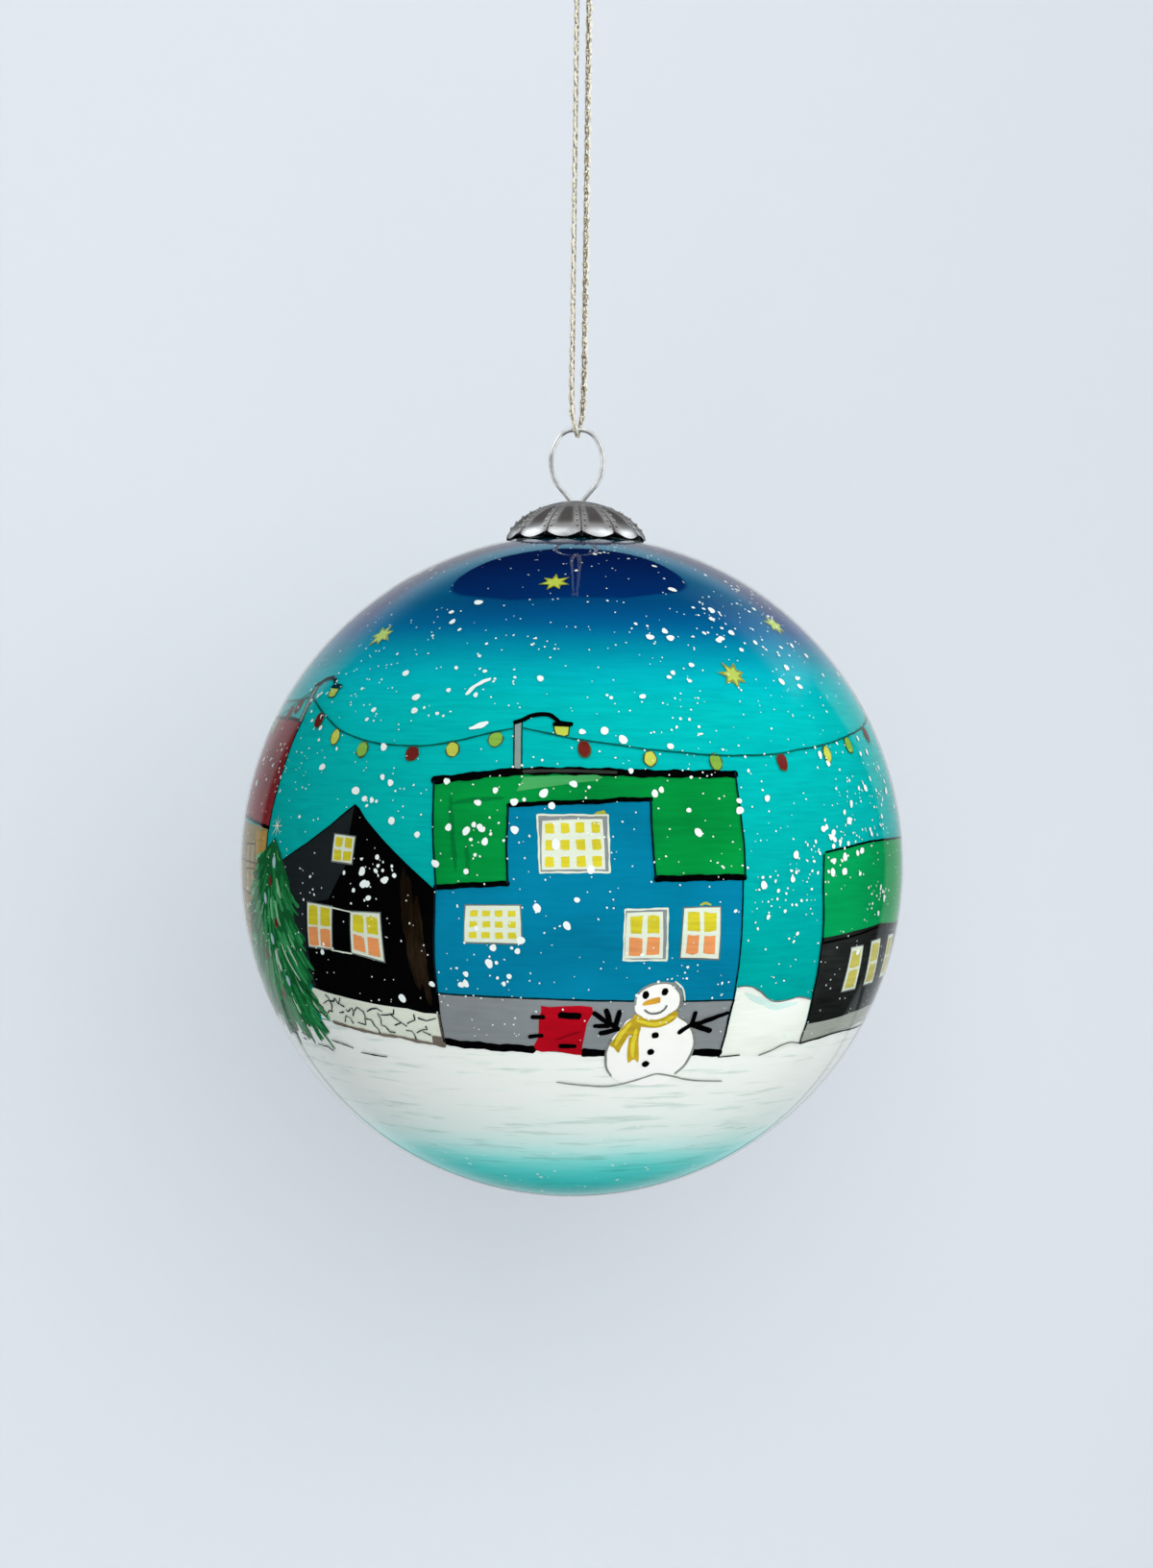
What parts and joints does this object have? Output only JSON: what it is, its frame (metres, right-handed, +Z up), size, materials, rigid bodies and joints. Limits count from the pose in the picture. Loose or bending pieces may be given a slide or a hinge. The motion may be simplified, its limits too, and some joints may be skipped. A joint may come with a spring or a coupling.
{
  "type": "hanging glass ball ornament",
  "caption": "Clear glass ball with a painted winter street inside, under a fluted metal cap and wire loop, hung from a knotted braided cord.",
  "frame": {"origin": "the point inside the top of the cord loop, just under its knot, where a hook or twig carries the ornament", "axes": "+Z up along the hanging cord, -Y towards the front of the painted street, +X to its right"},
  "size_m": [0.08, 0.08, 0.1575],
  "materials": {
    "hanging_cord": "braided metallic gold and silver cord",
    "cord_knot": "the same cord, knotted",
    "hanger_wire": "bright drawn spring wire",
    "cap_crown": "pressed and embossed sheet, dark in its hollows",
    "glass_globe": "clear blown glass, glossy",
    "sky_coat": "brushed paint, navy at the top to teal at the horizon",
    "snow_coat": "brushed white paint, teal at the bottom",
    "blue_house": "brushed paint",
    "blue_house_roof": "brushed paint with black edges",
    "blue_house_base": "brushed paint with a black foot line",
    "red_door": "brushed paint",
    "black_house": "brushed paint",
    "stone_wall": "white paint with thin black joints",
    "tall_house": "brushed paint",
    "tall_house_roof": "brushed paint",
    "green_house": "brushed paint",
    "green_house_roof": "brushed paint",
    "yellow_house": "brushed paint",
    "red_cottage": "brushed paint",
    "lilac_house": "brushed paint",
    "snow_drift": "white paint with a thin grey edge",
    "fir_trees": "separate green brush strokes",
    "snowman": "white paint with a thin grey edge",
    "snowman_scarf": "yellow paint",
    "snowman_arms": "black brush strokes",
    "window_frames": "white paint",
    "window_panes": "yellow and orange paint",
    "street_lamps": "grey and black paint",
    "light_string": "thin dark green line",
    "light_bulbs": "yellow, green and dark red dots",
    "stars": "yellow paint",
    "snowfall": "spattered white paint"
  },
  "bodies": {
    "cord": {"hanging_cord": "hanging_cord", "cord_knot": "cord_knot"},
    "hanger": {"hanger_wire": "hanger_wire"},
    "cap": {"cap_crown": "cap_crown"},
    "globe": {"glass_globe": "glass_globe", "sky_coat": "sky_coat", "snow_coat": "snow_coat", "blue_house": "blue_house", "blue_house_roof": "blue_house_roof", "blue_house_base": "blue_house_base", "red_door": "red_door", "black_house": "black_house", "stone_wall": "stone_wall", "tall_house": "tall_house", "tall_house_roof": "tall_house_roof", "green_house": "green_house", "green_house_roof": "green_house_roof", "yellow_house": "yellow_house", "red_cottage": "red_cottage", "lilac_house": "lilac_house", "snow_drift": "snow_drift", "fir_trees": "fir_trees", "snowman": "snowman", "snowman_scarf": "snowman_scarf", "snowman_arms": "snowman_arms", "window_frames": "window_frames", "window_panes": "window_panes", "street_lamps": "street_lamps", "light_string": "light_string", "light_bulbs": "light_bulbs", "stars": "stars", "snowfall": "snowfall"}
  },
  "joints": [
    {"name": "bauble_swing", "type": "hinge", "parent": "cord", "child": "hanger", "pos_m": [0, 0, -0.0553], "axis": [1, 0, 0], "range_deg": [-60, 60]},
    {"name": "hanger_pull", "type": "slide", "parent": "hanger", "child": "cap", "axis": [0, 0, -1], "range_m": [0, 0.003]},
    {"name": "cap_off", "type": "slide", "parent": "cap", "child": "globe", "axis": [0, 0, -1], "range_m": [0, 0.022]}
  ]
}
